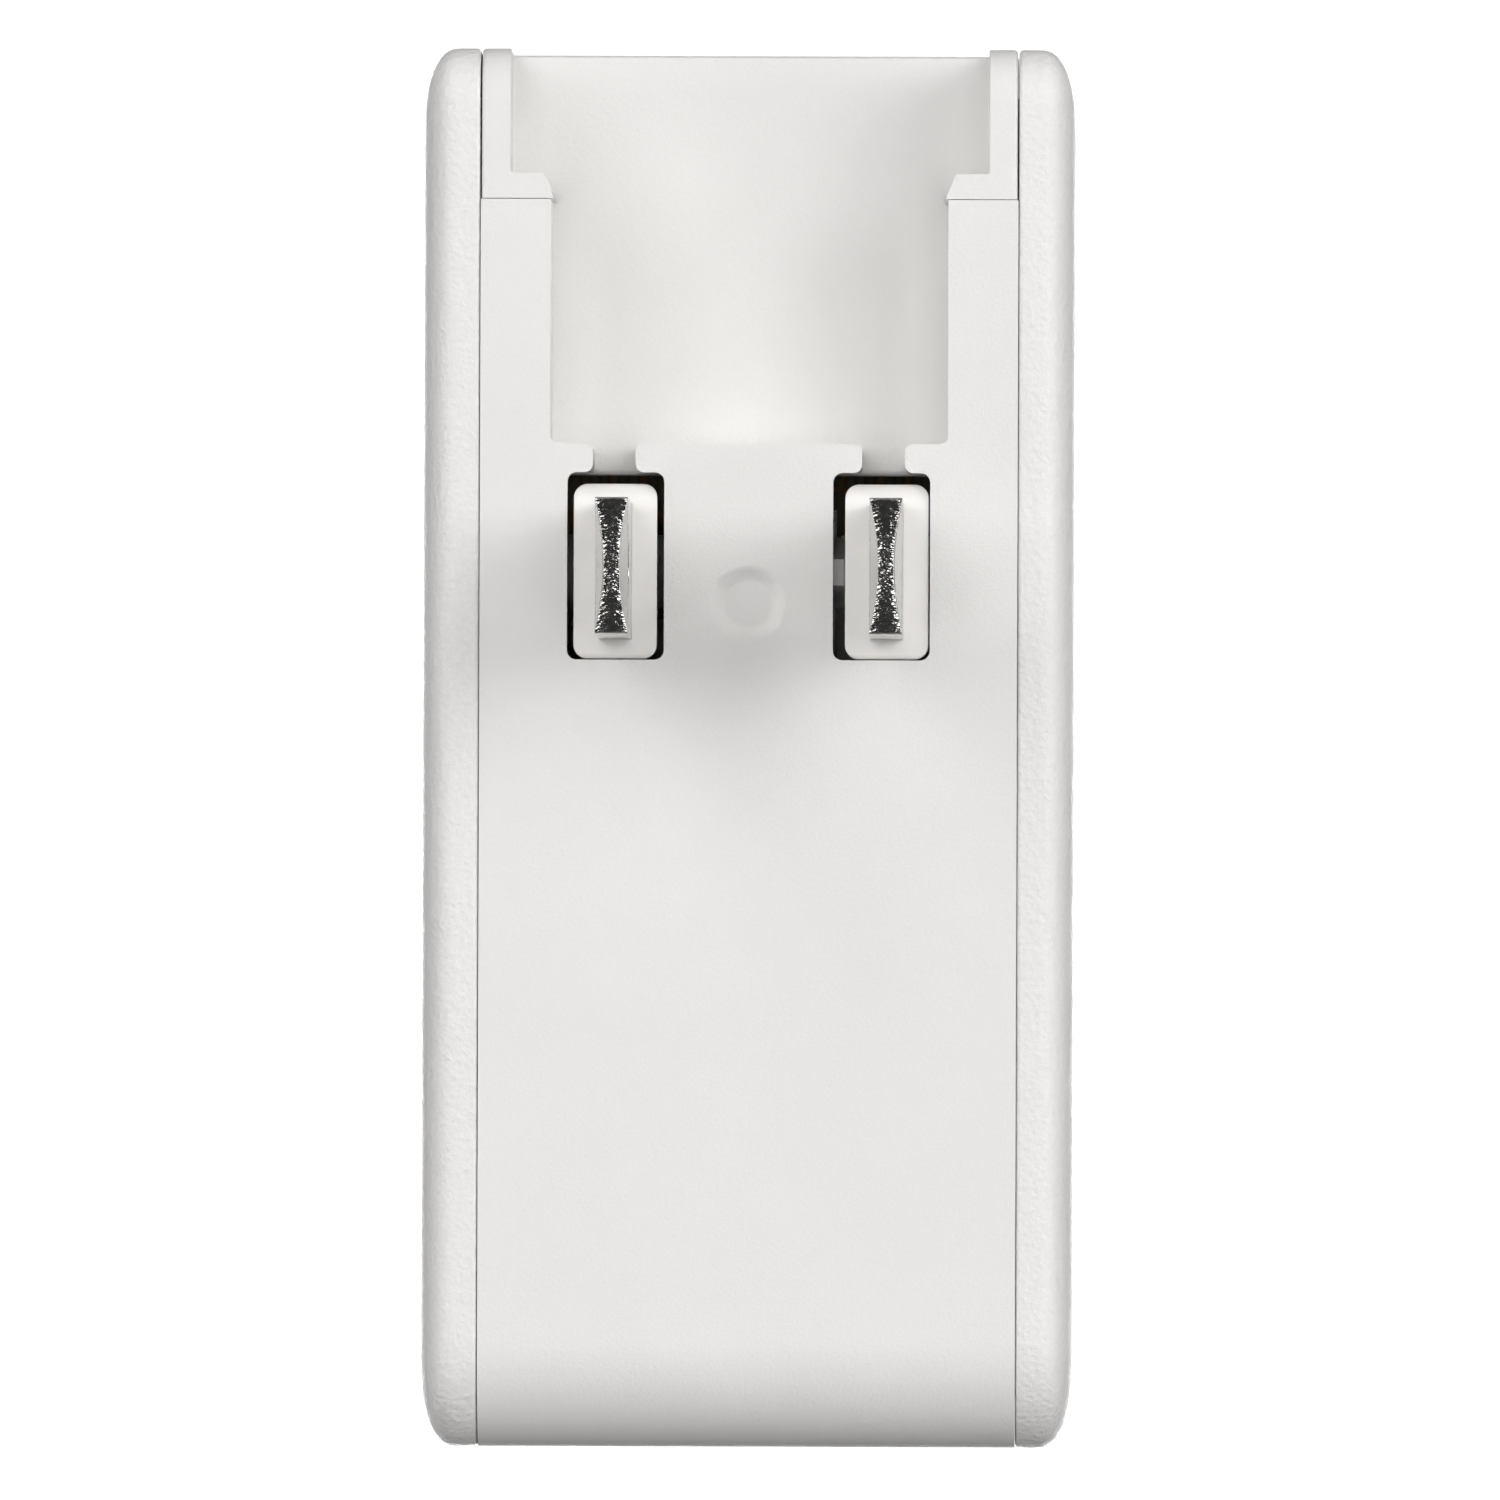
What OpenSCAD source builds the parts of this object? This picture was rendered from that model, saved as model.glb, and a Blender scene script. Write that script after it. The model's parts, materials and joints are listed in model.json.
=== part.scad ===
// USB wall charger with two folding mains blades.
// Frame: origin on the wall face, midway between the blade windows, at the height of
// the blade hinge. +X is to the right as seen from the blades, +Y points from the wall
// into the room, +Z is up. The blades point along -Y. All sizes are in millimetres.

/* [Body] */
// Overall width, over both side panels
body_w = 30.5; // [30:0.5:32]
// Overall height
body_h = 65.5; // [65:0.5:68]
// Overall depth, from the wall face to the front face
body_d = 25.5; // [25.5:0.5:28]
// Height of the top above the blade hinge
top_z = 24.5; // [24:0.5:25]
// Width of the shells between the two side panels
core_w = 25.16; // [25.1:0.02:25.3]
// Thickness of the front, rear and bottom walls
wall = 2; // [1.8:0.1:2]
// Thickness of the shells' side walls
side_wall = 1.5; // [1.4:0.1:1.6]
// Radius of the front and bottom edges
edge_r = 5; // [4.5:0.1:5]
// Radius of the edge where the top meets the wall face
top_back_r = 2.6; // [2:0.1:3]

/* [Side panels] */
// Gap between a side panel and the shells
panel_gap = 0.03; // [0.03:0.01:0.1]
// How far the rounding reaches over a panel's outline
pillow_inset = 4.2; // [3:0.1:4.4]
// How much of a panel's thickness is rounded
pillow_rise = 1.67; // [1:0.01:1.8]
// Fullness of the rounding: 2 is an ellipse, and more is squarer
pillow_power = 2.4; // [2:0.1:3]

/* [Blade recess] */
// Depth of the recess that holds the folded blades
recess_depth = 7.9; // [7.8:0.1:8.2]
// Width of the recess between the rear shell's walls
recess_w = 18.6; // [18:0.1:18.7]
// Width of the recess between the tray's posts
recess_top_w = 22.4; // [22:0.1:22.6]
// Height of the recess's lower edge above the hinge
recess_z = 5.97; // [5.9:0.01:6.2]
// Height of the seam between the rear shell and the tray
seam_z = 17.4; // [17:0.1:18]

/* [Plug] */
// Distance between the two blades, centre to centre
blade_pitch = 12.7; // [12.7:0.1:12.7]
// Width of a blade
blade_w = 6.35; // [6.1:0.05:6.4]
// Thickness of a blade
blade_t = 1.52; // [1.4:0.02:1.56]
// How far a blade stands out from the wall face
blade_reach = 16.6; // [15.9:0.1:17]
// Depth of the hinge axis behind the wall face
hinge_depth = 4.3; // [4.3:0.05:4.4]
// Side of the carrier's square blocks
carrier_side = 8.2; // [8:0.1:8.2]
// Width of one carrier block
carrier_w = 3.9; // [3.8:0.05:3.9]
// Where the carrier sits to one side within its end play
carrier_shift = 0.12; // [0:0.01:0.12]
// Radius of the hinge shaft
shaft_r = 1.75; // [1.7:0.05:1.75]
// Running clearance round the hinge shaft
shaft_clearance = 0.05; // [0.03:0.01:0.08]

/* [USB sockets] */
// Outer width of a socket's metal shell
usb_w = 13.1; // [13:0.1:13.2]
// Outer height of a socket's metal shell
usb_h = 5.65; // [5.6:0.05:5.7]
// Length of a socket's metal shell
usb_len = 12.5; // [12:0.25:12.5]
// Thickness of the shell's sheet metal
usb_sheet = 0.3; // [0.25:0.05:0.35]

/* [Hidden] */
$fn = 64;
e = 0.01;
sides = [-1, 1];

// Shells
bottom_z = top_z - body_h;
split_y = body_d / 2;
core_x = core_w / 2;
inner_x = core_x - side_wall;
corner_radii = [edge_r, edge_r, edge_r, top_back_r];
least_radius = 0.4;
shell_gap = 0.03;
lip_t = 0.7;
lip_len = 1.5;
rest_x = 10;
rest_t = 1.2;
side_rib_w = 0.8;
side_rib_h = 0.6;
side_rib_gap = 0.15;

// Side panels
panel_x = core_x + panel_gap;
panel_t = body_w / 2 - panel_x;
pillow_layers = 12;
panel_hollow = 1.1;
panel_rim = 2.2;
peg_r = 1;
peg_hole_r = 1.05;
peg_boss_r = 1.8;
peg_rear_y = 6.2;
peg_front_y = body_d - peg_rear_y;
peg_low_z = bottom_z + 10;
pegs = [
    [peg_rear_y, peg_low_z], [peg_rear_y, 11],
    [peg_front_y, peg_low_z], [peg_front_y, 17]
];

// Recess and tray
recess_x = recess_w / 2;
recess_wall = 1.3;
recess_corner_r = 0.4;
post_x = recess_top_w / 2;
tray_x = core_x - 0.05;
tray_plate_x = inner_x - 0.1;
tray_t = 1.5;
tray_top_z = top_z - 0.2;
tray_crease_z = top_z - 2;
tray_lean = 0.4;
tray_edge_r = 0.3;
tray_low_z = recess_z - 1.35;
foot_z = seam_z + 1.25;
foot_chamfer = 0.35;
foot_overhang = 0.17;

// Blade windows, pockets and slots
window_x = 6.22;
window_w = 4.54;
window_low_z = -4.15;
window_high_z = 4.62;
window_corner_r = 0.45;
lip_depth = 1;
lip_top_depth = 1.7;
pocket_r = 5.35;
slot_x = 6.3;
slot_w = 2;
slot_corner_r = 0.4;
dimple_z = -1.5;
dimple_r = 1.85;
dimple_floor_r = 1;
dimple_depth = 0.38;
dimple_steps = 8;

// Carrier and blades
carrier_half = carrier_side / 2;
carrier_corner_r = 1.3;
carrier_front_r = 0.25;
carrier_end_r = 0.65;
shaft_half = 10.3;
detent_flat = 1.65;
detent_gap = 0.04;
detent_x0 = 1.8;
detent_x1 = 4.2;
blade_root = 2.5;
blade_key_r = 1;
tail_half_w = 1;
tail_r = 5.35;
tip_groove_r = 12;
tip_groove_depth = 0.4;
tip_groove_len = 2.6;
tip_slant = atan(tip_groove_depth / tip_groove_len);
tip_corner_r = 0.15;
tip_hole_r = 1.6;
tip_hole_from_end = 4.8;

// Hinge retainer
bore_r = shaft_r + shaft_clearance;
cradle_half = 1.5;
arm_half = 1.4;
outer_arm_x = 9;
outer_arm_end = 10.4;
arm_top_z = 2.8;
arm_y = 7.9;
bar_y0 = 5.1;
bar_y1 = 6.9;
bar_low_z = -9.4;
bar_high_z = -5.75;
screw_x = 7.4;
screw_z = -7.6;
screw_r = 0.9;
screw_core_r = 0.75;
screw_boss_r = 1.9;
leaf_y = hinge_depth + shaft_r + detent_gap;
leaf_t = 0.25;
stake_x = (detent_x0 + detent_x1) / 2;
stake_r = 0.6;

// Boards
board_y = 19.6;
board_t = 1.6;
board_x = 10.6;
board_low_z = bottom_z + 3;
board_high_z = 21;
board_back = board_y + board_t;
post_r = 1.3;
board_posts = [[-9, 19], [9, 19], [-9, -24], [9, -24]];
spring_z = 3.2;
spring_w = 3;
spring_t = 0.3;
link_x = 8.9;
link_r = 0.32;
link_hole_r = 0.4;
link_pitch = 2.54;
link_top_z = -29;

// USB sockets
usb_gap = 0.2;
usb_board_t = 1.6;
usb_board_y = split_y - usb_board_t / 2;
usb_board_x = 10.4;
usb_board_top_z = -27.5;
usb_mouth_z = bottom_z + 0.3;
usb_r = 0.6;
usb_clearance = 0.14;
usb_rear_y = usb_board_y - usb_gap - usb_h / 2;
usb_front_y = usb_board_y + usb_board_t + usb_gap + usb_h / 2;
tongue_w = 11.1;
tongue_t = 1.84;
tongue_gap = 0.75;
tongue_set_back = 1.5;
tongue_block = 2;
contact_w = 1;
contact_t = 0.2;
contact_xs = [-3.5, -1, 1, 3.5];
contact_bend_z = usb_mouth_z + usb_len + 0.15;
leg_x = usb_w / 2 - usb_sheet;
leg_z = usb_mouth_z + 8.4;
leg_w = 1.2;
leg_reach = 0.7;

// ---- Helpers -------------------------------------------------------------------

// Solid from x0 to x1 with a (Y, Z) outline
module along_x(x0, x1)
    translate([x0, 0, 0]) rotate([90, 0, 90]) linear_extrude(x1 - x0) children();

// Solid from y0 to y1 with an (X, Z) outline
module along_y(y0, y1)
    translate([0, y1, 0]) rotate([90, 0, 0]) linear_extrude(y1 - y0) children();

module box(x0, x1, y0, y1, z0, z1)
    translate([x0, y0, z0]) cube([x1 - x0, y1 - y0, z1 - z0]);

module rod_x(x0, x1, y, z, r)
    translate([x0, y, z]) rotate([0, 90, 0]) cylinder(h = x1 - x0, r = r);

module rod_y(y0, y1, x, z, r)
    translate([x, y0, z]) rotate([-90, 0, 0]) cylinder(h = y1 - y0, r = r);

module rod_z(z0, z1, x, y, r)
    translate([x, y, z0]) cylinder(h = z1 - z0, r = r);

// What a rounded corner takes off; sx and sy point from the corner into the shape
module corner(x, y, sx, sy, r)
    if (r > 0) difference() {
        translate([min(x - sx * e, x + sx * r), min(y - sy * e, y + sy * r)]) square(r + e);
        translate([x + sx * r, y + sy * r]) circle(r);
    }

// Rectangle with its own radius at each corner, counter-clockwise from the lowest
module round_rect(x0, y0, x1, y1, r)
    difference() {
        translate([x0, y0]) square([x1 - x0, y1 - y0]);
        corner(x0, y0, 1, 1, r[0]);
        corner(x1, y0, -1, 1, r[1]);
        corner(x1, y1, -1, -1, r[2]);
        corner(x0, y1, 1, -1, r[3]);
    }

// The body's (Y, Z) outline, drawn in by inset on every side
module body_outline(inset = 0)
    round_rect(
        inset, bottom_z + inset, body_d - inset, top_z - inset,
        [for (r = corner_radii) max(r - inset, least_radius)]
    );

module usb_opening(y)
    along_z(bottom_z - 1, bottom_z + wall + 1)
        usb_outline(y, usb_clearance);

// Solid from z0 to z1 with an (X, Y) outline
module along_z(z0, z1)
    translate([0, 0, z0]) linear_extrude(z1 - z0) children();

module usb_outline(y, grow)
    round_rect(
        -usb_w / 2 - grow, y - usb_h / 2 - grow, usb_w / 2 + grow, y + usb_h / 2 + grow,
        [for (i = [0:3]) usb_r + grow]
    );

module peg_holes(front)
    for (s = sides, p = pegs)
        if ((p[0] > split_y) == front)
            rod_x(s > 0 ? inner_x - 1 : -core_x - 1, s > 0 ? core_x + 1 : -inner_x + 1,
                  p[0], p[1], peg_hole_r);

// Ribs that stand in the side panels' hollows and close the gap between panel and shell
module side_ribs(x, y0, y1, z0, z1)
    for (s = sides)
        along_x(s > 0 ? x - e : -x - side_rib_h, s > 0 ? x + side_rib_h : e - x)
            intersection() {
                difference() {
                    body_outline(panel_rim + side_rib_gap);
                    body_outline(panel_rim + side_rib_gap + side_rib_w);
                }
                translate([y0, z0]) square([y1 - y0, z1 - z0]);
            }

// ---- Shells --------------------------------------------------------------------

module rear_shell() color("whitesmoke")
    difference() {
        union() {
            difference() {
                along_x(-core_x, core_x) intersection() {
                    body_outline();
                    translate([0, bottom_z]) square([split_y, seam_z - bottom_z]);
                }
                along_x(-inner_x, inner_x) body_outline(wall);
            }
            side_ribs(core_x, 0, split_y, bottom_z, seam_z);
            box(-recess_x - recess_wall, recess_x + recess_wall,
                0, recess_depth - shell_gap, pocket_r - 0.6, seam_z);
            shaft_cradle(-cradle_half, cradle_half);
            for (s = sides) {
                shaft_cradle(min(s * outer_arm_x, s * (inner_x + e)),
                             max(s * outer_arm_x, s * (inner_x + e)));
                rod_y(wall - e, bar_y0 - shell_gap, s * screw_x, screw_z, screw_boss_r);
                for (z = [spring_z, usb_board_top_z + 2]) {
                    box(s > 0 ? rest_x : -inner_x - e, s > 0 ? inner_x + e : -rest_x,
                        wall - e, split_y - lip_len - 0.1, z, z + rest_t);
                    box(s > 0 ? rest_x : 0.1 - inner_x, s > 0 ? inner_x - 0.1 : -rest_x,
                        wall - e, board_y - shell_gap, z, z + rest_t);
                }
            }
        }
        along_y(-1, recess_depth + 1)
            round_rect(-recess_x, recess_z, recess_x, seam_z + 1,
                       [recess_corner_r, recess_corner_r, 0, 0]);
        for (s = sides) {
            blade_window(s);
            along_y(-1, recess_depth + 1) blade_slot(s * slot_x);
            rod_y(wall - 0.9, bar_y0 + 1, s * screw_x, screw_z, screw_core_r + 0.03);
            box(s > 0 ? inner_x - e : -inner_x - lip_t - 0.05,
                s > 0 ? inner_x + lip_t + 0.05 : -inner_x + e,
                split_y - lip_len - 0.05, split_y + 1, bottom_z + edge_r, seam_z + 1);
        }
        rod_x(-inner_x, inner_x, hinge_depth, 0, bore_r);
        gate_dimple();
        usb_opening(usb_rear_y);
        peg_holes(false);
    }

// One half of a shaft bearing, standing on the back wall
module shaft_cradle(x0, x1)
    box(x0, x1, wall - e, hinge_depth - shell_gap, -arm_top_z, arm_top_z);

// Slot that the folding blade passes through, flared where it meets window and recess
module blade_slot(x) {
    translate([x - slot_w / 2, window_high_z - 0.4])
        square([slot_w, recess_z - window_high_z + 0.8]);
    for (s = sides) {
        corner(x + s * slot_w / 2, recess_z, s, -1, slot_corner_r);
        corner(x + s * slot_w / 2, window_high_z, s, 1, slot_corner_r);
    }
}

// Window for one carrier block, with a wider round pocket behind its lip
module blade_window(s) {
    for (cut = [[window_low_z, lip_depth + e], [0, lip_top_depth]])
        along_y(-1, cut[1])
            round_rect(s * window_x - window_w / 2, cut[0],
                       s * window_x + window_w / 2, window_high_z,
                       [for (i = [0:3]) window_corner_r]);
    difference() {
        rod_x(s * window_x - window_w / 2, s * window_x + window_w / 2,
              hinge_depth, 0, pocket_r);
        box(-core_x, core_x, hinge_depth - pocket_r - 1, lip_depth, -pocket_r, pocket_r);
    }
}

// Shallow dish whose side is a smooth S from the wall face down to a flat floor
module gate_dimple()
    translate([0, 0, dimple_z]) rotate([-90, 0, 0])
        rotate_extrude()
            polygon([
                [0, -1], [dimple_r, -1],
                for (k = [0:dimple_steps])
                    [dimple_r + (dimple_floor_r - dimple_r) * k / dimple_steps,
                     dimple_depth * (1 - cos(180 * k / dimple_steps)) / 2],
                [0, dimple_depth]
            ]);

module front_shell() color("whitesmoke")
    difference() {
        union() {
            difference() {
                along_x(-core_x, core_x) intersection() {
                    body_outline();
                    translate([split_y + shell_gap, bottom_z])
                        square([body_d - split_y, body_h]);
                }
                along_x(-inner_x, inner_x) body_outline(wall);
            }
            side_ribs(core_x, split_y + shell_gap, body_d, bottom_z, top_z);
            for (s = sides)
                box(s > 0 ? inner_x : -inner_x - lip_t, s > 0 ? inner_x + lip_t : -inner_x,
                    split_y - lip_len, split_y + 1, bottom_z + edge_r + 0.1, seam_z - 0.1);
            for (p = board_posts)
                rod_y(board_back + shell_gap, body_d - wall + e, p[0], p[1], post_r);
        }
        usb_opening(usb_front_y);
        peg_holes(true);
    }

// The recess's floor, its two posts and the rear half of the top wall
module recess_tray() color("whitesmoke")
    union() {
        along_x(-tray_plate_x, tray_plate_x) tray_profile(tray_low_z);
        along_x(-post_x - e, post_x + e) tray_profile(seam_z + shell_gap);
        side_ribs(tray_x, 0, split_y - shell_gap, seam_z + shell_gap, top_z);
        for (s = sides) {
            along_x(s > 0 ? post_x : -tray_x, s > 0 ? tray_x : -post_x)
                intersection() {
                    body_outline();
                    translate([0, seam_z + shell_gap])
                        square([split_y - shell_gap, top_z - seam_z]);
                }
            along_y(0, recess_depth + e)
                polygon([
                    [s * tray_x, seam_z + shell_gap],
                    [s * tray_x, foot_z],
                    [s * (recess_x + foot_chamfer), foot_z],
                    [s * (recess_x - foot_overhang), seam_z + shell_gap]
                ]);
        }
    }

// (Y, Z) outline of the tray's floor from low_z up, with the wall that closes the top
module tray_profile(low_z)
    difference() {
        polygon([
            [recess_depth, low_z],
            [recess_depth, tray_crease_z],
            [recess_depth + tray_lean, tray_top_z],
            [split_y - shell_gap, tray_top_z],
            [split_y - shell_gap, tray_top_z - tray_t],
            [recess_depth + tray_t, tray_top_z - tray_t],
            [recess_depth + tray_t, low_z]
        ]);
        if (low_z < seam_z) corner(recess_depth, low_z, 1, 1, tray_edge_r);
    }

// ---- Side panels ---------------------------------------------------------------

module side_panel(s) color("white")
    mirror([s < 0 ? 1 : 0, 0, 0])
        union() {
            difference() {
                pillow();
                along_x(panel_x - 1, panel_x + panel_hollow) body_outline(panel_rim);
            }
            for (p = pegs) {
                rod_x(panel_x, panel_x + panel_hollow + 0.2, p[0], p[1], peg_boss_r);
                rod_x(inner_x + 0.1, panel_x + 0.2, p[0], p[1], peg_r);
            }
        }

// The panel's skin: its outline draws in along a superellipse towards the outer face
module pillow()
    hull() {
        along_x(panel_x, panel_x + panel_t - pillow_rise) body_outline();
        for (k = [1:pillow_layers]) {
            a = 90 * k / pillow_layers;
            x = panel_x + panel_t - pillow_rise + pillow_rise * sin(a) ^ (2 / pillow_power);
            along_x(x - 0.01, x)
                body_outline(pillow_inset * (1 - cos(a) ^ (2 / pillow_power)));
        }
    }

module left_side_panel() side_panel(-1);
module right_side_panel() side_panel(1);

// ---- Folding plug --------------------------------------------------------------

module blade_carrier() color("ivory")
    translate([carrier_shift, 0, 0])
        difference() {
            union() {
                for (s = sides) carrier_block(s * blade_pitch / 2);
                difference() {
                    rod_x(-shaft_half, shaft_half, hinge_depth, 0, shaft_r);
                    detent_cuts();
                }
            }
            for (s = sides) blade(s);
        }

// One block: rounded both in side view and as seen through its window
module carrier_block(x)
    intersection() {
        along_x(x - carrier_w / 2, x + carrier_w / 2)
            round_rect(hinge_depth - carrier_half, -carrier_half,
                       hinge_depth + carrier_half, carrier_half,
                       [carrier_front_r, carrier_corner_r,
                        carrier_corner_r, carrier_corner_r]);
        along_y(hinge_depth - carrier_side, hinge_depth + carrier_side)
            round_rect(x - carrier_w / 2, -carrier_half, x + carrier_w / 2, carrier_half,
                       [for (i = [0:3]) carrier_end_r]);
    }

// Four flats that the detent spring rests on
module detent_cuts()
    for (a = [0:90:270])
        translate([0, hinge_depth, 0]) rotate([a, 0, 0])
            box(detent_x0, detent_x1, -shaft_r - 1, shaft_r + 1,
                detent_flat, shaft_r + 1);

// One blade: broad faces along X, contact tail at the rear, ground tip at the front
module blade(s)
    translate([s * blade_pitch / 2, 0, 0])
        difference() {
            along_x(-blade_t / 2, blade_t / 2) difference() {
                union() {
                    round_rect(-blade_reach, -blade_w / 2,
                               hinge_depth + blade_root, blade_w / 2,
                               [tip_corner_r, 0, 0, tip_corner_r]);
                    intersection() {
                        translate([hinge_depth, -tail_half_w])
                            square([tail_r, 2 * tail_half_w]);
                        translate([hinge_depth, 0]) circle(tail_r);
                    }
                }
                translate([hinge_depth, 0]) circle(blade_key_r);
                translate([-blade_reach + tip_hole_from_end, 0]) circle(tip_hole_r);
            }
            for (face = sides) tip_groove(face);
        }

// Concave grind on one broad face of a blade's tip
module tip_groove(face)
    translate([face * (blade_t / 2 - tip_groove_depth + tip_groove_r / cos(tip_slant)),
               -blade_reach, 0])
        rotate([0, 0, -face * tip_slant])
            rotate([-90, 0, 0])
                translate([0, 0, -tip_groove_len])
                    cylinder(h = 3 * tip_groove_len, r = tip_groove_r);

module left_blade() color("silver") translate([carrier_shift, 0, 0]) blade(-1);
module right_blade() color("silver") translate([carrier_shift, 0, 0]) blade(1);

// Bridge that closes the three shaft bearings
module hinge_retainer() color("gainsboro")
    difference() {
        union() {
            box(-outer_arm_end, outer_arm_end, bar_y0, bar_y1, bar_low_z, bar_high_z);
            retainer_arm(-arm_half, arm_half);
            retainer_arm(-outer_arm_end, -outer_arm_x);
            retainer_arm(outer_arm_x, outer_arm_end);
            rod_y(bar_y1 - e, bar_y1 + 0.8, stake_x, screw_z, stake_r);
        }
        rod_x(-core_x, core_x, hinge_depth, 0, bore_r);
        for (s = sides) rod_y(0, body_d, s * screw_x, screw_z, screw_r + 0.1);
    }

module retainer_arm(x0, x1)
    box(x0, x1, hinge_depth + shell_gap, arm_y, bar_high_z - 0.5, arm_top_z);

// Pan-head screws that hold the retainer to its bosses
module retainer_screws() color("silver")
    for (s = sides)
        translate([s * screw_x, 0, screw_z]) rotate([-90, 0, 0])
            difference() {
                union() {
                    translate([0, 0, bar_y1]) cylinder(h = 0.5, r = 1.5);
                    translate([0, 0, bar_y1 + 0.5]) cylinder(h = 0.6, r1 = 1.5, r2 = 1);
                    translate([0, 0, wall + 0.1])
                        cylinder(h = bar_y1 - wall, r = screw_core_r);
                }
                for (a = [0, 90]) rotate([0, 0, a])
                    translate([-0.9, -0.2, bar_y1 + 0.6]) cube([1.8, 0.4, 1]);
            }

// Leaf that presses on the shaft's flats to hold the blades out or folded
module detent_spring() color("lightgray")
    difference() {
        along_x(detent_x0 + 0.1, detent_x1 - 0.1)
            polygon([
                [bar_y1, bar_low_z + 0.3], [bar_y1, bar_high_z],
                [leaf_y, -3], [leaf_y, 2], [leaf_y + 0.55, 3], [leaf_y + 0.75, 2.9],
                [leaf_y + leaf_t, 1.9], [leaf_y + leaf_t, -2.9],
                [bar_y1 + leaf_t, bar_high_z + 0.1], [bar_y1 + leaf_t, bar_low_z + 0.3]
            ]);
        rod_y(bar_y1 - 1, bar_y1 + 2, stake_x, screw_z, stake_r + 0.02);
    }

// Strip that carries current from a blade's tail to the main board
module contact_spring(s) color("goldenrod")
    along_x(s * blade_pitch / 2 + carrier_shift - spring_w / 2,
            s * blade_pitch / 2 + carrier_shift + spring_w / 2)
        contact_outline(hinge_depth + tail_r + 0.06);

module contact_outline(tip_y)
    polygon([
        [board_back + 0.5, spring_z], [tip_y + 1.5, spring_z], [tip_y, 0.6],
        [tip_y, -0.6], [tip_y + 0.8, -1.9], [tip_y + 1.05, -1.75],
        [tip_y + spring_t, -0.55], [tip_y + spring_t, 0.55],
        [tip_y + 1.65, spring_z - spring_t], [board_back + 0.5, spring_z - spring_t]
    ]);

module left_contact_spring() contact_spring(-1);
module right_contact_spring() contact_spring(1);

// ---- Boards and components -----------------------------------------------------

module link_pins(r, y0, y1)
    for (i = [0:3]) rod_y(y0, y1, link_x, link_top_z - i * link_pitch, r);

module main_board() color("darkgreen")
    difference() {
        box(-board_x, board_x, board_y, board_back, board_low_z, board_high_z);
        for (s = sides)
            box(s * blade_pitch / 2 + carrier_shift - spring_w / 2 - 0.05,
                s * blade_pitch / 2 + carrier_shift + spring_w / 2 + 0.05,
                board_y - 1, board_back + 1, spring_z - spring_t - 0.05, spring_z + 0.05);
        link_pins(link_hole_r, board_y - 1, board_back + 1);
    }

module usb_board() color("darkgreen")
    difference() {
        box(-usb_board_x, usb_board_x, usb_board_y, usb_board_y + usb_board_t,
            bottom_z + wall + 0.2, usb_board_top_z);
        link_pins(link_hole_r, usb_board_y - 1, usb_board_y + usb_board_t + 1);
        for (x = contact_xs)
            box(x - contact_w / 2 - 0.05, x + contact_w / 2 + 0.05,
                usb_board_y - 1, usb_board_y + usb_board_t + 1,
                contact_bend_z - 0.05, contact_bend_z + contact_t + 0.05);
        for (s = sides)
            box(s > 0 ? leg_x - 0.05 : -usb_w / 2 - 0.05,
                s > 0 ? usb_w / 2 + 0.05 : -leg_x + 0.05,
                usb_board_y - 1, usb_board_y + usb_board_t + 1,
                leg_z - 0.05, leg_z + leg_w + 0.05);
    }

module board_link_pins() color("gold")
    link_pins(link_r, usb_board_y - 0.4, board_back + 0.5);

module fuse() color("sienna")
    union() {
        rod_x(-8.5, 0.5, 17.85, -3.6, 1.6);
        for (x = [-9, 0.5]) rod_x(x, x + 0.5, 17.85, -3.6, 0.35);
    }

module line_inductor() color("dimgray")
    union() {
        rod_y(12.6, 13.6, 0, 2.9, 2.8);
        rod_y(13.6, 18.4, 0, 2.9, 2.2);
        rod_y(18.4, board_y - shell_gap, 0, 2.9, 2.8);
    }

module bridge_rectifier() color("black")
    union() {
        box(-8, -3.4, board_back + shell_gap, board_back + 1.6, 8, 11.8);
        for (x = [-7.6, -4.6], z = [7, 11.8])
            box(x, x + 0.8, board_back + shell_gap, board_back + 0.6, z, z + 1);
    }

module bulk_capacitors() color("darkslategray")
    for (x = [-4.6, 4.6]) {
        rod_z(6.8, 20.2, x, 15.45, 4);
        rod_z(5.8, 6.8, x, 15.45, 3.7);
    }

module transformer_core() color("dimgray")
    difference() {
        box(-8.2, 8.2, 11.4, 17, -20.4, -7);
        box(-6, 6, 11.4 - 1, 17 + 1, -18.4, -9);
    }

module transformer_bobbin() color("khaki")
    union() {
        for (x = [-5.9, 4.9])
            box(x, x + 1, 8.8, board_y - shell_gap, -18.2, -9.2);
        box(-4.9, 4.9, 12, 16.4, -16.2, -11.2);
    }

module transformer_winding() color("gold")
    difference() {
        along_x(-4.85, 4.85)
            round_rect(9.2, -17.9, 19.2, -9.5, [for (i = [0:3]) 1.6]);
        box(-5, 5, 11.95, 16.45, -16.25, -11.15);
    }

module controller_chip() color("black")
    union() {
        box(1.5, 5.4, board_back + 0.15, board_back + 1.5, -3, 1.9);
        for (x = [0.5, 5.4], i = [0:3])
            box(x, x + 1, board_back + shell_gap, board_back + 0.5,
                -2.6 + i * 1.27, -2.2 + i * 1.27);
    }

module optocoupler() color("ghostwhite")
    union() {
        box(3.2, 9.7, 16.2, board_y - 0.4, -5.6, -1);
        for (x = [3, 9.6], z = [-4.9, -2.4])
            box(x, x + 0.3, board_y - 2, board_y - shell_gap, z, z + 0.5);
    }

module safety_capacitor() color("royalblue")
    rod_x(-10.5, -8.4, 15.6, -13.5, 3.6);

module output_rectifier() color("black")
    box(-6.5, -0.6, board_back + shell_gap, board_back + 1.2, -22, -17.6);

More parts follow.
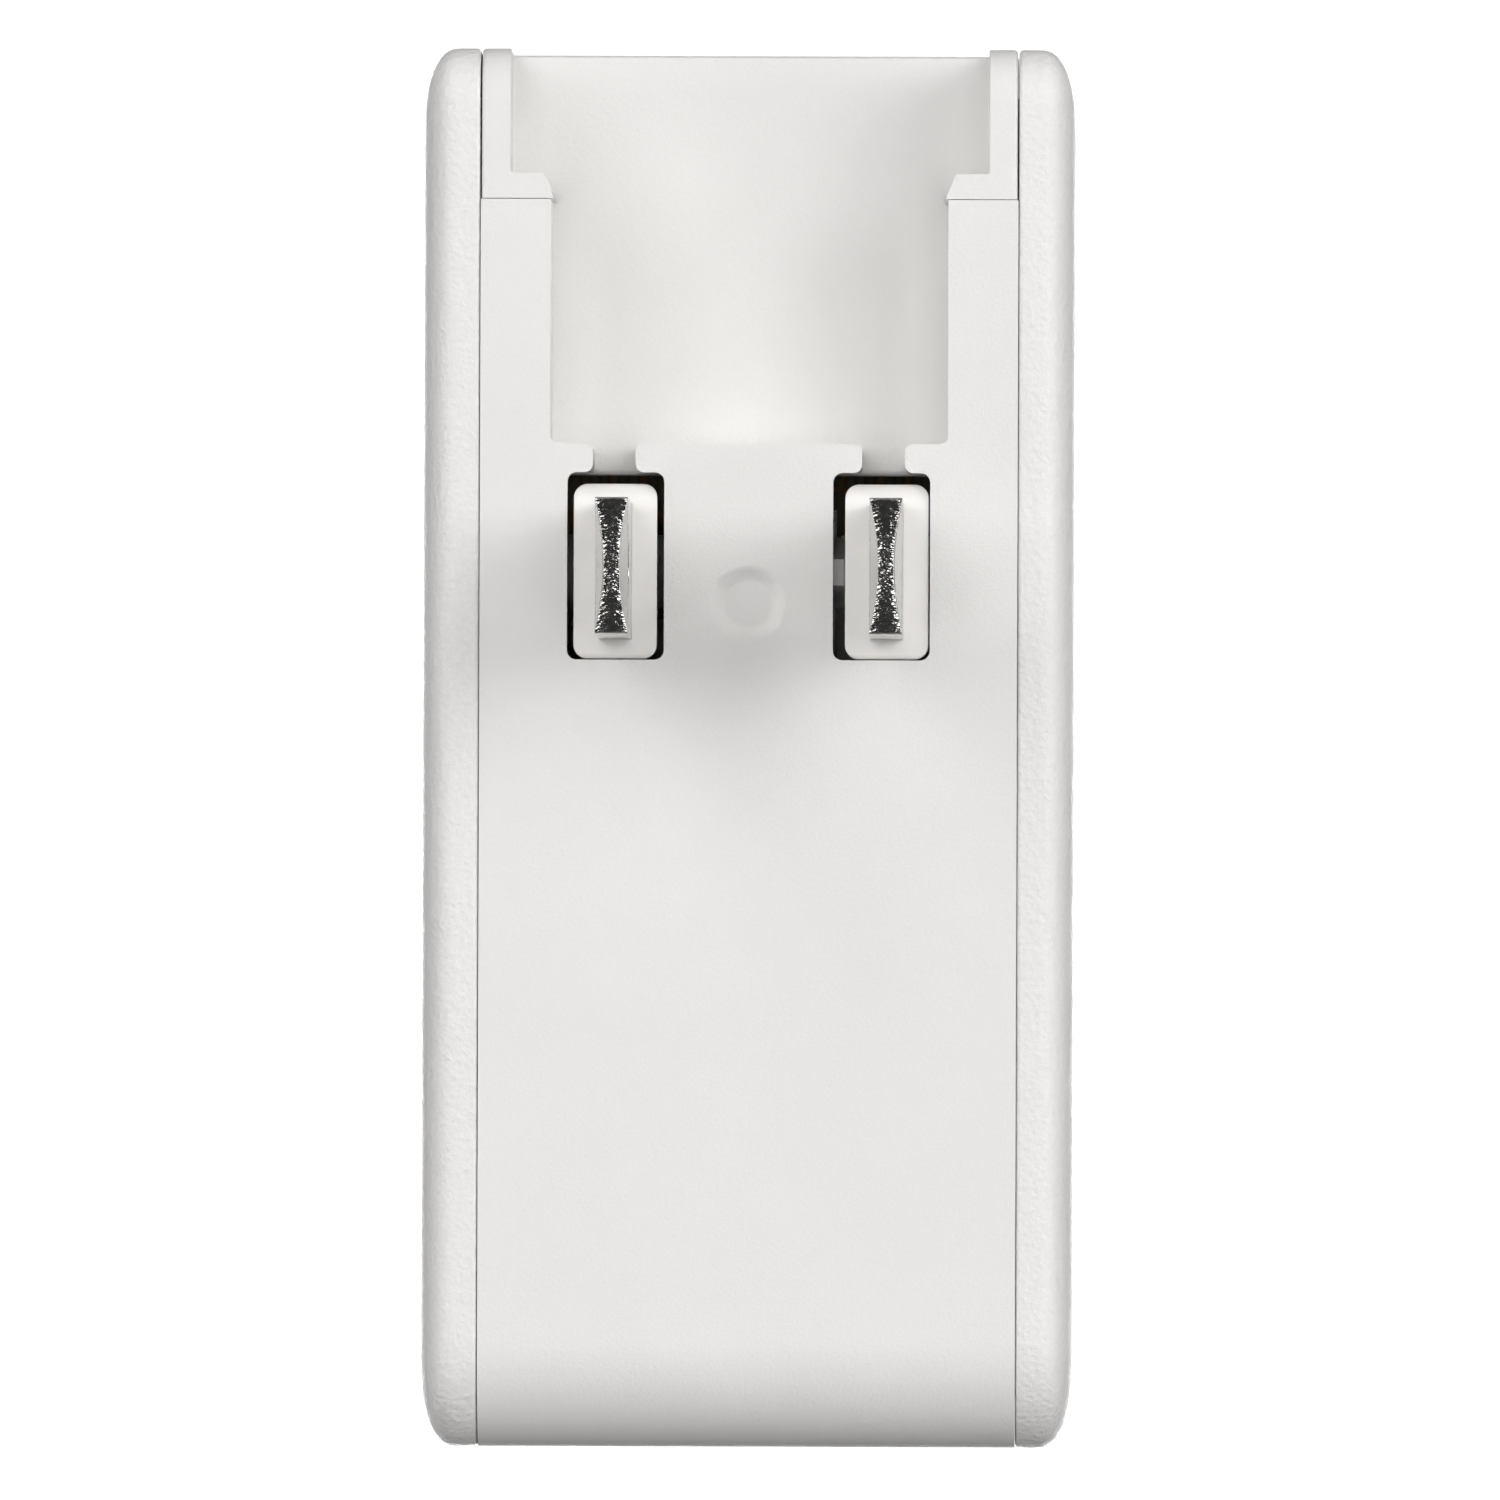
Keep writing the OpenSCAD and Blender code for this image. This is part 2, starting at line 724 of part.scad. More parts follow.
module output_capacitors() color("darkslategray")
    for (x = [-4.2, 4.2]) {
        rod_y(12.2, board_y - 0.8, x, -23.85, 3.15);
        rod_y(board_y - 0.8, board_y - shell_gap, x, -23.85, 2.9);
    }

module chip_resistors() color("black")
    for (x = [-4, -1, 5], z = [-14, -11, -8, 14, 17])
        box(x, x + 2, board_back + shell_gap, board_back + 0.6, z, z + 1.25);

module insulation_sheet() color("ivory")
    difference() {
        box(-board_x, board_x, body_d - wall - 0.4, body_d - wall - 0.15,
            bottom_z + edge_r, top_z - edge_r);
        for (p = board_posts) rod_y(0, body_d, p[0], p[1], post_r + 0.1);
    }

// ---- USB sockets ---------------------------------------------------------------

// Folded sheet-metal shell with latch windows and two legs soldered into the USB board.
// s is -1 for the socket on the board's -Y side and 1 for the one on its +Y side.
module usb_shell(y, s) color("silver")
    difference() {
        union() {
            along_z(usb_mouth_z, usb_mouth_z + usb_len) usb_outline(y, 0);
            for (x = [-usb_w / 2, leg_x])
                box(x, x + usb_sheet, min(y, leg_end(s)), max(y, leg_end(s)),
                    leg_z, leg_z + leg_w);
        }
        along_z(usb_mouth_z - 1, usb_mouth_z + usb_len + 1) usb_outline(y, -usb_sheet);
        for (x = sides)
            box(x * 3.1 - 0.95, x * 3.1 + 0.95, y - usb_h / 2 - 1, y + usb_h / 2 + 1,
                usb_mouth_z + 4.5, usb_mouth_z + 6.8);
    }

// How far the legs and contacts reach into the USB board
function leg_end(s) = split_y + s * (usb_board_t / 2 - leg_reach);

// The tongue's outer face, which looks away from the USB board
function tongue_y(y, s) = y + s * (usb_h / 2 - usb_sheet - tongue_gap);

// Moulded insulator: the tongue, and the block that fills the shell's rear
module usb_tongue(y, s) color("black")
    difference() {
        union() {
            box(-tongue_w / 2, tongue_w / 2,
                min(tongue_y(y, s), tongue_y(y, s) - s * tongue_t),
                max(tongue_y(y, s), tongue_y(y, s) - s * tongue_t),
                usb_mouth_z + tongue_set_back, usb_mouth_z + usb_len - tongue_block + e);
            along_z(usb_mouth_z + usb_len - tongue_block, usb_mouth_z + usb_len)
                usb_outline(y, -usb_sheet - shell_gap);
        }
        usb_strips(y, s, shell_gap);
    }

// Strips that lie in the tongue's inner face and bend down into the USB board
module usb_contacts(y, s) color("gold") usb_strips(y, s, 0);

module usb_strips(y, s, grow)
    for (x = contact_xs) {
        face = tongue_y(y, s) - s * (tongue_t - contact_t / 2);
        inner = face - s * contact_t;
        along_x(x - contact_w / 2 - grow, x + contact_w / 2 + grow) {
            translate([min(face, inner) - grow, usb_mouth_z + tongue_set_back + 0.6 - grow])
                square([contact_t + 2 * grow,
                        contact_bend_z + contact_t - usb_mouth_z - tongue_set_back - 0.6
                            + 2 * grow]);
            translate([min(face, leg_end(s)), contact_bend_z])
                square([abs(face - leg_end(s)), contact_t]);
        }
    }

module rear_usb_shell() usb_shell(usb_rear_y, -1);
module rear_usb_tongue() usb_tongue(usb_rear_y, -1);
module rear_usb_contacts() usb_contacts(usb_rear_y, -1);
module front_usb_shell() usb_shell(usb_front_y, 1);
module front_usb_tongue() usb_tongue(usb_front_y, 1);
module front_usb_contacts() usb_contacts(usb_front_y, 1);

// ---- Nodes ---------------------------------------------------------------------

rear_shell();
front_shell();
recess_tray();
left_side_panel();
right_side_panel();
blade_carrier();
left_blade();
right_blade();
hinge_retainer();
retainer_screws();
detent_spring();
left_contact_spring();
right_contact_spring();
main_board();
fuse();
line_inductor();
bridge_rectifier();
bulk_capacitors();
transformer_core();
transformer_bobbin();
transformer_winding();
controller_chip();
optocoupler();
safety_capacitor();
output_rectifier();
output_capacitors();
chip_resistors();
insulation_sheet();
usb_board();
board_link_pins();
rear_usb_shell();
rear_usb_tongue();
rear_usb_contacts();
front_usb_shell();
front_usb_tongue();
front_usb_contacts();
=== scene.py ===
"""A USB wall charger with a folding two-blade plug: its looks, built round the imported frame.

Metres, with +X right, +Y from the wall into the room and +Z up. Lengths written with MM are
millimetres. The origin is on the wall face, between the blades, at the height of their hinge.
"""

import json
import math

import bmesh
import bpy
from mathutils import Matrix, Vector


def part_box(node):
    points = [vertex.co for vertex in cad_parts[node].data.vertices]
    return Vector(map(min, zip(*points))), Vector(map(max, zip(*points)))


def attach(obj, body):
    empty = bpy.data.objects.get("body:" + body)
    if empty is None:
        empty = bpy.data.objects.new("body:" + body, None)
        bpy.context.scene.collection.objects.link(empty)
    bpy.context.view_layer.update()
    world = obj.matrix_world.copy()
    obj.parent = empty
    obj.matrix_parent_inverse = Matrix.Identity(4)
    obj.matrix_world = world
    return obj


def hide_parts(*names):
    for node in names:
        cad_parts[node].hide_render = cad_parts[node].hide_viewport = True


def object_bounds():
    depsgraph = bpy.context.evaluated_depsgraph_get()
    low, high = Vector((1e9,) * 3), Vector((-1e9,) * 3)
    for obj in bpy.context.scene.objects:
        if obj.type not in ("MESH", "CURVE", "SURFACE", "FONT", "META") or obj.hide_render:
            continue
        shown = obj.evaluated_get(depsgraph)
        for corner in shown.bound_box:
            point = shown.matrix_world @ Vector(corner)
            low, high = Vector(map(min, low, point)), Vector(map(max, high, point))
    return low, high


MM = 0.001

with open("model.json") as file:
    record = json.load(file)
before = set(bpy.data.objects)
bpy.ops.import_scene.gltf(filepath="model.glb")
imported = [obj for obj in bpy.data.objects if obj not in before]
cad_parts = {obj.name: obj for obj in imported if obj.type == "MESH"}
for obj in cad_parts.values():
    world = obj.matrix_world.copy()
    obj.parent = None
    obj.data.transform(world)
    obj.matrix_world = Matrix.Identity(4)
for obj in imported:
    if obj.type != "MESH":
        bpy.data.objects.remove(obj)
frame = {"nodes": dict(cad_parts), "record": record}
nodes = frame["nodes"]
cad_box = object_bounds()
SLOT_OF = {row["node"]: row["material_slot"] for row in frame["record"]["subparts"]}

# Camera: nearly square to the wall face, a touch to the right of it and below it
CAMERA_AZIMUTH = 0.42
CAMERA_ELEVATION = -0.55
CAMERA_ROLL = 0.19
CAMERA_DISTANCE = 1.5
VIEW_WIDTH = 70.16 * MM
AIM = Vector((0.10 * MM, 0, -8.36 * MM))

# Soft boxes
LIGHT_DISTANCE = 0.9
LIGHT_SIZE = 0.4

# Strength of the surroundings as light, as seen, and in reflections: those that come from
# behind the camera, those from the sides, and the Y of the directions between which they fade
WORLD_DIFFUSE = 0.05
WORLD_SEEN = 1.1
WORLD_GLOSSY = 0.03
WORLD_GLOSSY_SIDES = 0.25
GLOSSY_FADE = (-0.9, -0.3)

# Each soft box's azimuth, elevation and power in watts
LIGHTS = {
    "front": (0, 5, 2.75),
    "left_key": (-35, 17, 1.68),
    "right_key": (35, 17, 2.05),
    "right_side": (50, 12, 1.6),
    "left_high": (-50, 48, 1.55),
    "right_high": (75, 55, 0.95),
    "left_low": (-75, -25, 1.92),
    "right_low": (75, -25, 1.88),
    "behind": (180, -5, 4.0),
}

WHITE = (0.81, 0.8, 0.785)
IVORY = (0.93, 0.91, 0.89)

# The hollow grind of a blade's tip, as the blades are made, and the fineness of its mesh
TIP_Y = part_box("left_blade")[0][1]
BLADE_HALF_T = 0.76 * MM
GRIND_DEPTH = 0.4 * MM
GRIND_LENGTH = 2.6 * MM
GRIND_RADIUS = 12 * MM
GRIND_MARGIN = 0.1 * MM
GRIND_ROW = 0.2 * MM
GRIND_ROWS = 15
GRIND_STEPS = 6

# The carrier's blocks: place, half width and taper over their depth
BLOCK_X = 6.35 * MM
BLOCK_SHIFT = 0.12 * MM
BLOCK_HALF_W = 1.95 * MM
BLOCK_DRAFT = 0.05 * MM

# Meshing of the rounded copies: edges to round, faces to join, points to weld, and the
# widest edge, in millimetres, that is rounded in two steps
SHARP = math.radians(28)
FLAT = math.radians(0.3)
WELD = 0.0005 * MM
FINE_EDGE = 0.1

# Floor: its size, its gap under the object, and the facing over which it fades to white
FLOOR_SIZE = 4
FLOOR_GAP = 0.02 * MM
FLOOR_FADE = (0.93, 0.975)


# ---- Materials -----------------------------------------------------------------


def tint(color, factor):
    return tuple(min(1.0, channel * factor) for channel in color)


class Surface:
    """A material under construction: its node tree, its Principled shader and its coordinates."""

    def __init__(self, name, color, roughness, metallic=0.0, specular=0.5):
        self.base = color
        self.material = bpy.data.materials.new(name)
        self.material.use_nodes = True
        self.tree = self.material.node_tree
        self.shader = self.tree.nodes["Principled BSDF"]
        self.shader.inputs["Base Color"].default_value = (*color, 1)
        self.shader.inputs["Roughness"].default_value = roughness
        self.shader.inputs["Metallic"].default_value = metallic
        self.shader.inputs["Specular IOR Level"].default_value = specular
        self.place = self.node("ShaderNodeTexCoord").outputs["Object"]

    def node(self, kind, **inputs):
        made = self.tree.nodes.new(kind)
        for key, value in inputs.items():
            socket = made.inputs[key.replace("_", " ")]
            if isinstance(value, bpy.types.NodeSocket):
                self.tree.links.new(value, socket)
            else:
                socket.default_value = value
        return made

    def math(self, operation, *values):
        made = self.tree.nodes.new("ShaderNodeMath")
        made.operation = operation
        for socket, value in zip(made.inputs, values):
            if isinstance(value, bpy.types.NodeSocket):
                self.tree.links.new(value, socket)
            else:
                socket.default_value = value
        return made.outputs[0]

    def along(self, axis):
        """The object's own X, Y or Z coordinate."""
        return self.node("ShaderNodeSeparateXYZ", Vector=self.place).outputs[axis]

    def stretched(self, scale):
        """Object coordinates scaled by (x, y, z), for streaks and scratches."""
        return self.node("ShaderNodeMapping", Vector=self.place, Scale=scale).outputs[0]

    def noise(self, size, detail=3.0, roughness=0.55, vector=None):
        """Noise with features about size across."""
        made = self.node(
            "ShaderNodeTexNoise",
            Vector=vector or self.place,
            Scale=1 / size,
            Detail=detail,
            Roughness=roughness,
        )
        return made.outputs["Fac"]

    def cells(self, size, feature="F1", vector=None):
        """Distance from scattered points about size apart, or from the lines between them."""
        made = self.node("ShaderNodeTexVoronoi", Vector=vector or self.place, Scale=1 / size)
        made.feature = feature
        return made.outputs["Distance"]

    def bands(self, size, axis, distortion=0.0):
        """Even ridges across X, Y or Z, size apart."""
        made = self.node(
            "ShaderNodeTexWave",
            Vector=self.place,
            Scale=math.pi / 10 / size,
            Distortion=distortion,
        )
        made.bands_direction = axis
        return made.outputs["Fac"]

    def spread(self, value, low, high, to_low=0.0, to_high=1.0):
        """value from low to high, stretched to to_low and to_high."""
        made = self.node(
            "ShaderNodeMapRange",
            Value=value,
            From_Min=low,
            From_Max=high,
            To_Min=to_low,
            To_Max=to_high,
        )
        return made.outputs[0]

    def ramp(self, value, *stops):
        """A colour ramp; stops are (position, (r, g, b))."""
        made = self.node("ShaderNodeValToRGB", Fac=value)
        elements = made.color_ramp.elements
        while len(elements) < len(stops):
            elements.new(0.5)
        for element, (position, color) in zip(elements, stops):
            element.position = position
            element.color = (*color, 1)
        return made.outputs["Color"]

    def shades(self, value, darkest, lightest, low=0.3, high=0.7):
        """Drives the base colour between two of its own shades."""
        return self.color(
            self.ramp(value, (low, tint(self.base, darkest)), (high, tint(self.base, lightest)))
        )

    def color(self, value):
        self.tree.links.new(value, self.shader.inputs["Base Color"])
        return self

    def rough(self, value, smoothest, roughest):
        spread = self.spread(value, 0.3, 0.7, smoothest, roughest)
        self.tree.links.new(spread, self.shader.inputs["Roughness"])
        return self

    def bump(self, *layers):
        """Relief from (height, depth in metres) layers, one on top of the other."""
        normal = None
        for height, depth in layers:
            made = self.node("ShaderNodeBump", Height=height, Distance=depth)
            if normal:
                self.tree.links.new(normal, made.inputs["Normal"])
            normal = made.outputs[0]
        self.tree.links.new(normal, self.shader.inputs["Normal"])
        return self.material


def case_plastic(name):
    """Matte white moulding with a fine spark-eroded skin."""
    s = Surface(name, WHITE, 0.5, specular=0.35)
    grain = s.noise(0.17 * MM, 4, 0.7)
    cloud = s.noise(9 * MM, 2)
    s.shades(cloud, 0.985, 1.01)
    s.rough(grain, 0.44, 0.6)
    return s.bump((grain, 0.032 * MM), (cloud, 0.02 * MM))


def panel_plastic(name):
    """The same white with a coarser, sparkling grain."""
    s = Surface(name, tint(WHITE, 1.03), 0.4, specular=0.5)
    grain = s.noise(0.24 * MM, 3, 0.65)
    speck = s.cells(0.36 * MM)
    s.shades(grain, 0.97, 1.02)
    s.rough(speck, 0.3, 0.52)
    return s.bump((grain, 0.07 * MM), (speck, 0.035 * MM))


def ivory_plastic(name):
    """Smooth satin ivory, a little translucent."""
    s = Surface(name, IVORY, 0.42, specular=0.4)
    s.shader.inputs["Subsurface Weight"].default_value = 0.15
    s.shader.inputs["Subsurface Radius"].default_value = (0.6 * MM, 0.45 * MM, 0.35 * MM)
    flow = s.noise(1.6 * MM, 3)
    s.shades(flow, 0.975, 1.015)
    s.rough(flow, 0.38, 0.48)
    return s.bump((s.noise(0.3 * MM), 0.006 * MM))


def blade_metal(name):
    """Nickel plate over brass: drawn along the blade, and scored by the grinding of its tip."""
    s = Surface(name, (0.7, 0.69, 0.665), 0.2, metallic=1.0)
    streak = s.noise(0.25 * MM, 4, vector=s.stretched((1, 0.06, 1)))
    s.shades(streak, 0.86, 1.06)
    s.rough(streak, 0.1, 0.22)
    end_face = s.spread(s.along("Y"), TIP_Y + 0.12 * MM, TIP_Y + 0.02 * MM)
    from_middle = s.math("ABSOLUTE", s.along("Z"))
    middle = s.spread(from_middle, 0.6 * MM, 2.9 * MM, 1.0, 0.4)
    score = s.noise(0.13 * MM, 1.5, 0.5, vector=s.stretched((0.45, 1, 1.2)))
    relief = s.math("MULTIPLY", s.math("MULTIPLY", score, middle), end_face)
    return s.bump((streak, 0.004 * MM), (relief, 0.09 * MM))


def plated(name, color, grain, direction):
    """Rolled and plated sheet, with streaks along one way and faint stains."""
    s = Surface(name, color, 0.28, metallic=1.0)
    streak = s.noise(grain, 4, vector=s.stretched(direction))
    stain = s.noise(2.2 * MM, 3)
    s.shades(stain, 0.86, 1.06)
    s.rough(streak, 0.2, 0.4)
    return s.bump((streak, 0.004 * MM), (stain, 0.01 * MM))


def moulded(name, color, roughness, grain=0.2 * MM):
    """Engineering plastic with flow clouds and a fine eroded grain."""
    s = Surface(name, color, roughness)
    flow = s.noise(2.5 * MM, 3)
    fine = s.noise(grain, 3, 0.6)
    s.shades(flow, 0.92, 1.06)
    s.rough(fine, roughness * 0.85, min(1.0, roughness * 1.2))
    return s.bump((flow, 0.02 * MM), (fine, 0.012 * MM))


def circuit_board(name):
    """Tan phenolic board, with tracks that stand up a little under its clear coating."""
    s = Surface(name, (0.3, 0.23, 0.14), 0.34)
    tracks = s.spread(s.cells(2.4 * MM, "DISTANCE_TO_EDGE"), 0.05, 0.075, 1.0, 0.0)
    weave = s.bands(0.45 * MM, "X", 0.3)
    s.color(s.ramp(tracks, (0.2, s.base), (0.8, (0.42, 0.25, 0.12))))
    s.rough(weave, 0.26, 0.36)
    return s.bump((weave, 0.004 * MM), (tracks, 0.03 * MM))


def fuse_body(name):
    """Glazed ceramic tube with plated end caps."""
    s = Surface(name, (0.72, 0.66, 0.54), 0.3)
    low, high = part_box("fuse")
    middle = (low[0] + high[0]) / 2
    half = (high[0] - low[0]) / 2
    away = s.math("ABSOLUTE", s.math("SUBTRACT", s.along("X"), middle))
    cap = s.spread(away, half - 1.75 * MM, half - 1.7 * MM)
    speck = s.noise(0.4 * MM)
    s.color(s.ramp(cap, (0.4, s.base), (0.6, (0.66, 0.65, 0.62))))
    s.tree.links.new(cap, s.shader.inputs["Metallic"])
    s.rough(speck, 0.22, 0.36)
    return s.bump((speck, 0.008 * MM), (cap, 0.06 * MM))


def ferrite(name):
    """Dark sintered ceramic with open pores."""
    s = Surface(name, (0.055, 0.055, 0.06), 0.65)
    pores = s.cells(0.22 * MM)
    s.shades(s.noise(0.5 * MM, 4), 0.7, 1.4)
    s.rough(pores, 0.5, 0.8)
    return s.bump((pores, 0.03 * MM))


def sleeve(name, color, roughness):
    """Shrunk or dipped coating: glossy, with shallow ripples."""
    s = Surface(name, color, roughness)
    ripple = s.noise(1.4 * MM, 2)
    s.shades(ripple, 0.85, 1.15)
    s.rough(s.noise(0.3 * MM), roughness * 0.8, roughness * 1.3)
    return s.bump((ripple, 0.05 * MM))


def winding_tape(name):
    """Glossy tape drawn over the turns of wire beneath it."""
    s = Surface(name, (0.72, 0.52, 0.07), 0.28)
    turns = s.bands(0.42 * MM, "X", 0.15)
    s.shades(turns, 0.8, 1.08, 0.1, 0.9)
    s.rough(s.noise(0.6 * MM), 0.2, 0.36)
    return s.bump((turns, 0.05 * MM))


STEEL = (0.62, 0.61, 0.58)
ALONG_Z = (1, 1, 0.08)
ALONG_X = (0.08, 1, 1)

SLOTS = {
    "case_plastic": case_plastic("case_plastic"),
    "panel_plastic": panel_plastic("panel_plastic"),
    "ivory_plastic": ivory_plastic("ivory_plastic"),
    "blade_metal": blade_metal("blade_metal"),
    "inner_plastic": moulded("inner_plastic", (0.6, 0.6, 0.58), 0.5),
    "spring_metal": plated("spring_metal", STEEL, 0.2 * MM, ALONG_Z),
    "screw_metal": plated("screw_metal", (0.6, 0.6, 0.58), 0.3 * MM, ALONG_X),
    "contact_metal": plated("contact_metal", (0.78, 0.6, 0.3), 0.2 * MM, ALONG_Z),
    "circuit_board": circuit_board("circuit_board"),
    "fuse_body": fuse_body("fuse_body"),
    "ferrite": ferrite("ferrite"),
    "chip_plastic": moulded("chip_plastic", (0.025, 0.025, 0.028), 0.6, 0.12 * MM),
    "capacitor_sleeve": sleeve("capacitor_sleeve", (0.03, 0.045, 0.09), 0.25),
    "disc_lacquer": sleeve("disc_lacquer", (0.03, 0.12, 0.45), 0.22),
    "winding_tape": winding_tape("winding_tape"),
    "bobbin_plastic": moulded("bobbin_plastic", (0.08, 0.08, 0.08), 0.5),
    "insulation_film": sleeve("insulation_film", (0.8, 0.78, 0.7), 0.35),
    "socket_shell": plated("socket_shell", (0.66, 0.66, 0.65), 0.2 * MM, ALONG_X),
    "socket_insulator": moulded("socket_insulator", (0.85, 0.85, 0.83), 0.45),
    "gold_contact": plated("gold_contact", (0.85, 0.62, 0.25), 0.15 * MM, ALONG_Z),
}


# ---- Pieces --------------------------------------------------------------------


def dress(piece, slot):
    piece.data.materials.clear()
    piece.data.materials.append(SLOTS[slot])


def new_piece(name, bm, slot, body):
    for face in bm.faces:
        face.smooth = True
    mesh = bpy.data.meshes.new(name)
    bm.to_mesh(mesh)
    bm.free()
    piece = bpy.data.objects.new(name, mesh)
    bpy.context.scene.collection.objects.link(piece)
    dress(piece, slot)
    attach(piece, body)
    return piece


def solid_of(name):
    """The node's mesh without the splits between its flat faces' triangles."""
    bm = bmesh.new()
    bm.from_mesh(nodes[name].data)
    bmesh.ops.remove_doubles(bm, verts=bm.verts, dist=WELD)
    bmesh.ops.dissolve_limit(bm, angle_limit=FLAT, verts=bm.verts, edges=bm.edges)
    return bm


def grind_tip(bm, middle_x):
    """Cuts a blade's tip finely and lays its hollow-ground faces on their true cylinder."""
    end = TIP_Y + GRIND_LENGTH + GRIND_MARGIN
    heights = [k * GRIND_ROW for k in range(-GRIND_ROWS, GRIND_ROWS + 1)]
    depths = [TIP_Y + k * GRIND_LENGTH / GRIND_STEPS for k in range(1, GRIND_STEPS)]
    cuts = [(Vector((0, 0, z)), Vector((0, 0, 1))) for z in heights]
    cuts += [(Vector((0, y, 0)), Vector((0, 1, 0))) for y in depths]
    for place, normal in cuts:
        faces = [f for f in bm.faces if f.calc_center_median().y < end]
        edges = {e for f in faces for e in f.edges}
        verts = {v for f in faces for v in f.verts}
        bmesh.ops.bisect_plane(
            bm, geom=[*verts, *edges, *faces], plane_co=place, plane_no=normal, dist=0.001 * MM
        )
    slant = math.atan(GRIND_DEPTH / GRIND_LENGTH)
    axis_x = BLADE_HALF_T - GRIND_DEPTH + GRIND_RADIUS / math.cos(slant)
    for v in bm.verts:
        if v.co.y > end:
            continue
        away = v.co.x - middle_x
        reach = math.sqrt(GRIND_RADIUS**2 - v.co.z**2) / math.cos(slant)
        ground = axis_x + (v.co.y - TIP_Y) * math.tan(slant) - reach
        v.co.x = middle_x + math.copysign(min(BLADE_HALF_T, ground), away)


def draft_blocks(bm):
    """Tapers the carrier's two blocks towards their inner ends, as mouldings taper."""
    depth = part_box("blade_carrier")
    for v in bm.verts:
        middle = BLOCK_SHIFT + math.copysign(BLOCK_X, v.co.x)
        away = v.co.x - middle
        if abs(away) < BLOCK_HALF_W + 0.01 * MM:
            inward = (v.co.y - depth[0][1]) / (depth[1][1] - depth[0][1])
            v.co.x = middle + away * (1 - BLOCK_DRAFT / BLOCK_HALF_W * inward)


def rounded_copy(name, rules):
    """The node's solid as a new piece whose moulded or stamped edges are rounded.

    rules are (test, radius) pairs: the first test that an edge's middle passes, in
    millimetres, gives its radius in millimetres.
    """
    bm = solid_of(name)
    if SLOT_OF[name] == "blade_metal":
        low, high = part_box(name)
        grind_tip(bm, (low[0] + high[0]) / 2)
    if name == "blade_carrier":
        draft_blocks(bm)
    weight = bm.edges.layers.float.new("bevel_weight_edge")
    widest = max(radius for _, radius in rules)
    for edge in bm.edges:
        if len(edge.link_faces) != 2 or edge.calc_face_angle(0) < SHARP:
            continue
        if SLOT_OF[name] == "ivory_plastic" and not edge.is_convex:
            continue
        middle = (edge.verts[0].co + edge.verts[1].co) / 2 / MM
        for test, radius in rules:
            if test(middle):
                edge[weight] = radius / widest
                break
    body = "plug_blades" if "blade" in name else "housing"
    piece = new_piece("shaped_" + name, bm, SLOT_OF[name], body)
    bevel = piece.modifiers.new("edges", "BEVEL")
    bevel.width = widest * MM
    bevel.segments = 4 if widest > FINE_EDGE else 2
    bevel.limit_method = "WEIGHT"
    bevel.use_clamp_overlap = True
    bevel.miter_outer = "MITER_ARC"
    shade = piece.modifiers.new("shade", "WEIGHTED_NORMAL")
    shade.keep_sharp = True
    shade.weight = 100
    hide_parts(name)


def everywhere(_):
    return True


# In millimetres: the windows' span on either side, the housing's half width between the
# panels, and the height of the tray's seam
WINDOWS = (3.9, 8.6)
CORE = 12.5
SEAM = 17.4


def at_window(p):
    return p.y < 0.05 and WINDOWS[0] < abs(p.x) < WINDOWS[1]


# Rounding rules of the pieces whose edges differ, in millimetres
RULES = {
    "rear_shell": [
        (lambda p: p.z > SEAM - 0.1, 0.04),
        (lambda p: at_window(p) and 4.5 < p.z < 5.1, 0.38),
        (lambda p: at_window(p) and -4.3 < p.z < 4.7, 0.08),
        (lambda p: abs(p.x) > CORE, 0.18),
        (lambda p: p.y < 0.05 and 5.9 < p.z < 6.5 and abs(p.x) < 9.35, 0.3),
        (lambda p: p.y < 8 and p.z > 5 and abs(p.x) < 9.4, 0.14),
        (lambda p: p.y < 0.05, 0.14),
        (lambda p: p.y < 1.2, 0.05),
    ],
    "front_shell": [(lambda p: abs(p.x) > CORE, 0.18)],
    "recess_tray": [
        (lambda p: p.z < SEAM + 0.1 and abs(p.x) < 9.3, 0),
        (lambda p: p.z < SEAM + 0.1, 0.04),
        (lambda p: p.z < SEAM + 1 and abs(p.x) < 10.1, 0.05),
        (lambda p: abs(p.x) > CORE - 0.1, 0.18),
        (lambda p: p.z > SEAM + 1.5, 0.08),
        (everywhere, 0.14),
    ],
    "left_side_panel": [(lambda p: abs(p.x) < 12.9, 0.2)],
    "right_side_panel": [(lambda p: abs(p.x) < 12.9, 0.2)],
    "blade_carrier": [(lambda p: p.y < 3, 0.18)],
}

# Pieces whose edges are all rounded alike
EVEN_RADII = {
    "left_blade": 0.05,
    "right_blade": 0.05,
    "hinge_retainer": 0.15,
    "retainer_screws": 0.08,
    "detent_spring": 0.05,
    "left_contact_spring": 0.06,
    "right_contact_spring": 0.06,
    "main_board": 0.06,
    "usb_board": 0.06,
    "fuse": 0.2,
    "line_inductor": 0.15,
    "bridge_rectifier": 0.1,
    "bulk_capacitors": 0.4,
    "transformer_core": 0.25,
    "transformer_bobbin": 0.15,
    "transformer_winding": 0.3,
    "controller_chip": 0.08,
    "optocoupler": 0.1,
    "safety_capacitor": 0.7,
    "output_rectifier": 0.1,
    "output_capacitors": 0.35,
    "chip_resistors": 0.06,
    "board_link_pins": 0.1,
    "rear_usb_shell": 0.07,
    "front_usb_shell": 0.07,
    "rear_usb_tongue": 0.12,
    "front_usb_tongue": 0.12,
    "rear_usb_contacts": 0.05,
    "front_usb_contacts": 0.05,
}

for name, slot in SLOT_OF.items():
    dress(nodes[name], slot)
for name, rules in RULES.items():
    rounded_copy(name, rules)
for name, radius in EVEN_RADII.items():
    rounded_copy(name, [(everywhere, radius)])


# ---- Spring fingers of the USB sockets ------------------------------------------

